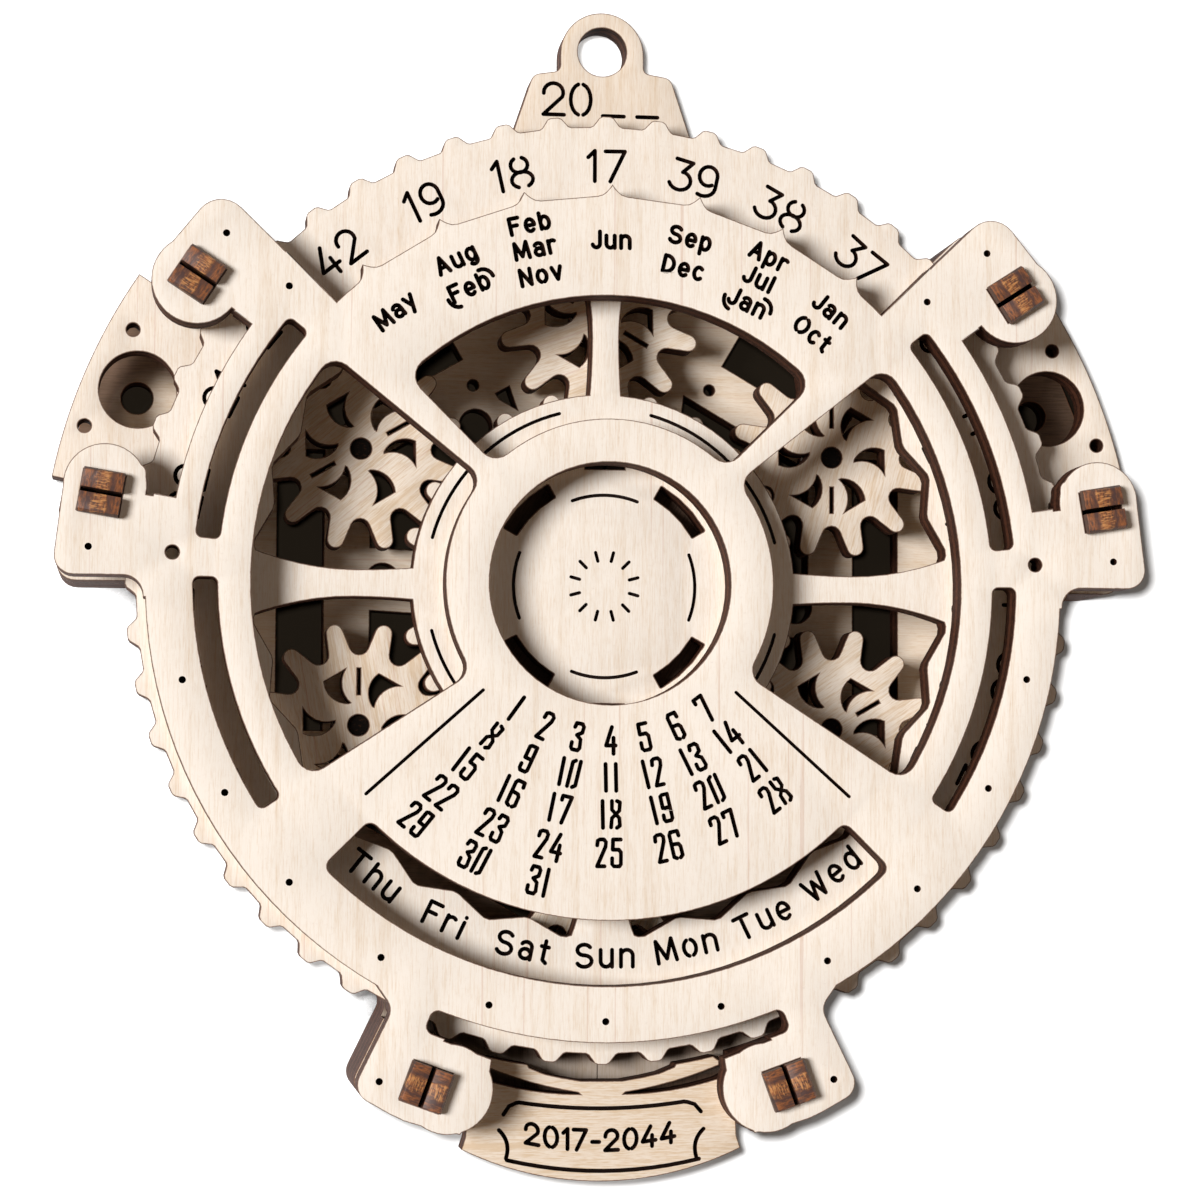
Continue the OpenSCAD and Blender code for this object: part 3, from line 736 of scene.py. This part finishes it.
def clip_material(name, place_at, angle):
    """A scorched sheet seen from its end: its plies lie side by side along the clip's own X."""
    r = Recipe(bpy.data.materials.new(name))
    local = in_millimetres(r, place_at, angle)
    wobble = (r.noise(local, 0.9, 3.0) - 0.5) * 0.9
    depth = (r.axis("X", local) + wobble).math("ABSOLUTE")
    middle = depth.step(0.95, 0.65)
    glue = (depth - 1.1).math("ABSOLUTE").step(0.45, 0.05)
    ends = r.noise(r.stretched(local, 1.1, 6.5, 1.0), 1.0, 3.0, 0.6)
    grain = r.noise(r.stretched(local, 5.0, 1.2, 2.0), 1.0, 4.0, 0.65)
    char_and_painted_shade = r.noise(local, 0.55, 3.0)
    color = r.mix(grain.step(0.36, 0.66), CLIP_DARK, CLIP_BROWN)
    color = r.mix(middle * ends.step(0.46, 0.60), color, CLIP_CORE)
    color = r.mix((glue * 0.75 + char_and_painted_shade.step(0.50, 0.68) * 0.6).math("MINIMUM", 1.0), color,
                  CLIP_GLUE)
    color = r.mix(r.burnt().step(0.3, 0.9) * 0.8, color, CLIP_RIM)
    return r.surface({"Base Color": color, "Roughness": 0.5,
                      "Normal": r.bump(0.6, 0.06 * MM, ends * middle + grain)})


def burnt_material(name):
    """End grain of the pins and axles, burnt nearly black."""
    r = Recipe(bpy.data.materials.new(name))
    local = in_millimetres(r)
    plies = r.noise(r.stretched(local, 2.5, 4.0, 1.2), 1.0, 4.0, 0.6)
    return r.surface({"Base Color": r.mix(plies.step(0.5, 0.8), PIN_DARK, PIN_BROWN),
                      "Roughness": 0.9, "Specular IOR Level": 0.1,
                      "Normal": r.bump(0.4, 0.05 * MM, plies)})


def board_material(node, **settings):
    """Plywood for one board, between the heights of its box."""
    low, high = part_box(node)
    return ply_material(node + "_wood", low.z, high.z, **settings)


def middle_of(node):
    """The middle of a node's box in plan, in millimetres."""
    low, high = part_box(node)
    return (low.x + high.x) / 2 / MM, (low.y + high.y) / 2 / MM


# ---- operators ----


class FrontPlateOperator(bpy.types.Operator):
    """Cuts the months and the dates into the front plate"""

    bl_idname = "calendar.front_plate"
    bl_label = "Front Plate"
    DOT = 0.8 * MM

    def execute(self, context):
        wood, letters = context.scene.calendar_wood, context.scene.calendar_letters
        board = board_copy("front_plate")
        scorch_rims(board, wood.rim, wood.drop)
        engrave(board, dot_strokes(), self.DOT, letters.depth * 2)
        engrave(board, month_strokes(), letters.stroke * 1.05, letters.depth)
        engrave(board, date_strokes(), letters.stroke, letters.depth)
        engrave(board, fan_strokes(), letters.line, letters.depth * 0.6)
        finish_board(board, "front_plate", board_material("front_plate", warmth=-0.08))
        return {"FINISHED"}


class CalendarDiscOperator(bpy.types.Operator):
    """Cuts the years, the weekdays and the hub marks into the disc"""

    bl_idname = "calendar.disc"
    bl_label = "Calendar Disc"

    def execute(self, context):
        wood, letters = context.scene.calendar_wood, context.scene.calendar_letters
        board = board_copy("calendar_disc")
        scorch_rims(board, wood.rim, wood.drop)
        engrave(board, year_strokes() + weekday_strokes(), letters.stroke, letters.depth)
        engrave(board, hub_strokes(), letters.line, letters.depth * 0.5)
        finish_board(board, "calendar_disc", board_material("calendar_disc"))
        return {"FINISHED"}


class HangerOperator(bpy.types.Operator):
    """Cuts the century into the hanger and the range of years into the plaque"""

    bl_idname = "calendar.hanger_and_plaque"
    bl_label = "Hanger and Plaque"

    def execute(self, context):
        wood, letters = context.scene.calendar_wood, context.scene.calendar_letters
        for node, strokes, finish in (
                ("hanger", hanger_strokes(), {"warmth": 0.3}),
                ("plaque", plaque_strokes(), {"grain": 0, "warmth": 0.42, "figure": 1.8})):
            board = board_copy(node)
            scorch_rims(board, wood.rim, wood.drop)
            engrave(board, strokes, letters.stroke, letters.depth)
            finish_board(board, node, board_material(node, **finish))
        return {"FINISHED"}


class PlainBoardsOperator(bpy.types.Operator):
    """Scorches the edges of the boards that carry no lettering"""

    bl_idname = "calendar.plain_boards"
    bl_label = "Plain Boards"

    def execute(self, context):
        wood = context.scene.calendar_wood
        # The back plate's rings of painted shade darken its outer ring and its lower part, which
        # lie in shade deep inside, all but a lit spot in the left ear's pocket; the sun gear's
        # painted shade darkens its middle, seen in shade through the hub's cuts.
        finishes = {"back_plate": {"grain": 0, "warmth": 0.45, "lit_spot": (-49.5, 19.5, 4),
                                   "painted_shade": [(0, 0, 43, 90, 0.93), (0, -75, -2, 56, 0.9)]},
                    "left_ear": {"warmth": 0.12}, "right_ear": {"warmth": 0.12},
                    "sun_gear": {"grain": 60, "warmth": 0.2, "painted_shade": [(0, 0, -2, 14, 0.95)]}}
        for n, grain in enumerate((75, 20, 40, 100, 70, 35), 1):
            finishes[f"planet_gear_{n}"] = {"grain": grain, "warmth": 0.3, "figure": 1.7}
        for node, finish in finishes.items():
            board = board_copy(node)
            scorch_rims(board, wood.rim, wood.drop)
            finish_board(board, node, board_material(node, **finish))
        return {"FINISHED"}


class ClipsOperator(bpy.types.Operator):
    """Rounds and burns the clips that hold the layers together"""

    bl_idname = "calendar.clips"
    bl_label = "Clips"
    ANGLES = (-70, 9.5, 33, 250, 170.5, 147)
    ROUNDING = 0.12 * MM

    def execute(self, context):
        for number, angle in enumerate(self.ANGLES, 1):
            node = f"clip_{number}"
            clip = board_copy(node)
            apply(clip, "BEVEL", width=self.ROUNDING, segments=2, limit_method="ANGLE")
            wood = clip_material(node + "_wood", middle_of(node), angle)
            finish_board(clip, node, wood)
        return {"FINISHED"}


class InnerPartsOperator(bpy.types.Operator):
    """Finishes the spacers, shims, washers, pins and axles inside"""

    bl_idname = "calendar.inner_parts"
    bl_label = "Inner Parts"
    PINS = ("upper_disc_clip", "lower_disc_clip", "centre_axle", "hanger_pins")
    # rings of painted shade, as ply_material takes them, by the first word of a node's name: they
    # darken the lower and rear spacers where these lie in shade
    SMOKE = {"lower": ((0, 0, -2, 53.4, 0.9), (0, 0, 53.4, 54.9, 0.6), (0, 0, 54.9, 90, 0.95)),
             "rear": ((0, 0, 61, 90, 0.95),)}

    def execute(self, context):
        materials = {}
        for node, thing in frame["nodes"].items():
            if thing.hide_render:
                continue
            low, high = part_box(node)
            char_and_painted_shade = self.SMOKE.get(node.split("_")[0], ())
            if node in self.PINS or node.startswith("planet_axle"):
                key = "pins"
            else:
                key = (round(low.z / MM, 1), round(high.z / MM, 1), char_and_painted_shade)
            if key not in materials and key == "pins":
                materials[key] = burnt_material("pin_wood")
            elif key not in materials:
                materials[key] = ply_material(f"layer_{len(materials)}_wood", low.z, high.z,
                                              warmth=0.3 if char_and_painted_shade else 0.0, painted_shade=char_and_painted_shade)
            thing.data.materials.clear()
            thing.data.materials.append(materials[key])
        return {"FINISHED"}


class StudioOperator(bpy.types.Operator):
    """Sets the white floor, the lights and the camera"""

    bl_idname = "calendar.studio"
    bl_label = "Studio"
    FLOOR = 3
    KEY_FROM = (-0.654, 0.05, 0.755)
    FILL_FROM = (0.5, 0.55, 0.67)
    FILL_WIDTH = math.radians(50)
    LAMP_ASIDE = (-17 * MM, 15 * MM)
    LAMP_RADIUS = 11 * MM

    def execute(self, context):
        stage = context.scene.calendar_stage
        context.scene.view_settings.view_transform = "Standard"
        floor = self.floor()
        self.surroundings(stage.sky)
        self.sun("key", stage.key, stage.softness, self.KEY_FROM)
        self.sun("fill", stage.fill, self.FILL_WIDTH, self.FILL_FROM)
        self.lamp_beside_camera(stage.floor_lamp, floor)
        self.camera(stage.lens)
        return {"FINISHED"}

    def floor(self):
        """A white floor, with shadow painted into its colour where the calendar covers it."""
        deselect_all()
        bpy.ops.mesh.primitive_plane_add(size=self.FLOOR, location=(0, 0, 0))
        floor = bpy.context.object
        floor.name = "floor"
        r = Recipe(bpy.data.materials.new("floor_white"))
        open_air = r.node("ShaderNodeAmbientOcclusion", {"samples": 16}, {"Distance": 25 * MM},
                          output="AO")
        # Painted shadow: where ambient occlusion is low, and below the disc and the right ear's
        # holes, the floor's colour turns dark and its glow is left out.
        outside = open_air.step(0.24, 0.38) * (1 - self.covered(r))
        matt = r.node("ShaderNodeBsdfDiffuse", None,
                      {"Color": r.mix(outside, FLOOR_PAINTED_SHADOW, FLOOR_WHITE)})
        glow = r.node("ShaderNodeEmission", None, {"Color": WHITE, "Strength": 0.06})
        both = r.node("ShaderNodeAddShader", None, {0: matt, 1: glow})
        r.finish("ShaderNodeOutputMaterial", r.node("ShaderNodeMixShader", None,
                                                    {0: self.seen(r) * outside, 1: matt, 2: both}))
        floor.data.materials.append(r.owner)
        return floor

    def covered(self, r):
        """1 where shadow is painted on the floor: below the disc and below the right ear's holes.
        """
        disc_middle, ear_middle = (1.8, 1.0), (56, 24)
        disc = distance(r, disc_middle).step(53.3, 52.9)
        where = in_millimetres(r, ear_middle)
        x, y = (r.axis(name, where).math("ABSOLUTE") for name in "XY")
        holes = x.step(9.2, 8.8) * y.step(7.7, 7.3) * distance(r).step(64.8, 64.4)
        return disc.math("MAXIMUM", holes)

    def seen(self, r):
        """1 for what the camera sees, straight or in a gloss."""
        rays = [r.node("ShaderNodeLightPath", output=name)
                for name in ("Is Camera Ray", "Is Glossy Ray", "Is Transmission Ray")]
        return (rays[0] + rays[1] + rays[2]).math("MINIMUM", 1.0)

    def surroundings(self, strength):
        """A dim warm room that looks white to the camera."""
        r = Recipe(bpy.data.worlds.new("white_room"))
        bpy.context.scene.world = r.owner
        room = r.node("ShaderNodeBackground", None, {"Color": ROOM, "Strength": strength})
        white = r.node("ShaderNodeBackground", None, {"Color": WHITE, "Strength": 1.0})
        r.finish("ShaderNodeOutputWorld", r.node("ShaderNodeMixShader", None,
                                                 {0: self.seen(r), 1: room, 2: white}))

    def sun(self, name, strength, softness, towards):
        """A distant light in this direction."""
        light = bpy.data.lights.new(name, "SUN")
        light.energy, light.angle = strength, softness
        sun = bpy.data.objects.new(name, light)
        bpy.context.scene.collection.objects.link(sun)
        sun.rotation_euler = Vector(towards).to_track_quat("Z", "Y").to_euler()

    def lamp_beside_camera(self, power, floor):
        """A small lamp that lights only the floor, and gives the narrow shadow on it."""
        light = bpy.data.lights.new("floor_lamp", "POINT")
        light.energy, light.shadow_soft_size = power, self.LAMP_RADIUS
        lamp = bpy.data.objects.new("floor_lamp", light)
        x, y, z = CAMERA_AT
        lamp.location = (x + self.LAMP_ASIDE[0], y + self.LAMP_ASIDE[1], z)
        bpy.context.scene.collection.objects.link(lamp)
        lit = bpy.data.collections.new("lit_by_floor_lamp")
        lit.objects.link(floor)
        lamp.light_linking.receiver_collection = lit

    def camera(self, lens):
        camera = bpy.data.objects.new("camera", bpy.data.cameras.new("camera"))
        bpy.context.scene.collection.objects.link(camera)
        camera.data.lens, camera.data.sensor_width = lens, SENSOR
        camera.data.clip_start, camera.data.clip_end = 0.01, 10
        camera.location = CAMERA_AT
        camera.rotation_euler = [math.radians(a) for a in CAMERA_TURN]
        bpy.context.scene.camera = camera


OPERATORS = (FrontPlateOperator, CalendarDiscOperator, HangerOperator, PlainBoardsOperator,
             ClipsOperator, InnerPartsOperator, StudioOperator)
SETTINGS = {"calendar_wood": CalendarWood, "calendar_letters": CalendarLetters,
            "calendar_stage": CalendarStage}


class CalendarPanel(bpy.types.Panel):
    """Lists the calendar's pieces and their settings"""

    bl_idname = "VIEW3D_PT_calendar"
    bl_label = "Plywood Calendar"
    bl_space_type = "VIEW_3D"
    bl_region_type = "UI"
    bl_category = "Calendar"

    def draw(self, context):
        for name in SETTINGS:
            group = getattr(context.scene, name)
            box = self.layout.box()
            for key in group.__annotations__:
                box.prop(group, key)
        for operator in OPERATORS:
            self.layout.operator(operator.bl_idname)


def register():
    for kind in (*SETTINGS.values(), *OPERATORS, CalendarPanel):
        bpy.utils.register_class(kind)
    for name, kind in SETTINGS.items():
        setattr(bpy.types.Scene, name, bpy.props.PointerProperty(type=kind))


def unregister():
    for name in SETTINGS:
        delattr(bpy.types.Scene, name)
    for kind in (CalendarPanel, *reversed(OPERATORS), *SETTINGS.values()):
        bpy.utils.unregister_class(kind)


def main():
    register()
    for operator in OPERATORS:
        group, name = operator.bl_idname.split(".")
        getattr(getattr(bpy.ops, group), name)()


if __name__ == "__main__":
    main()
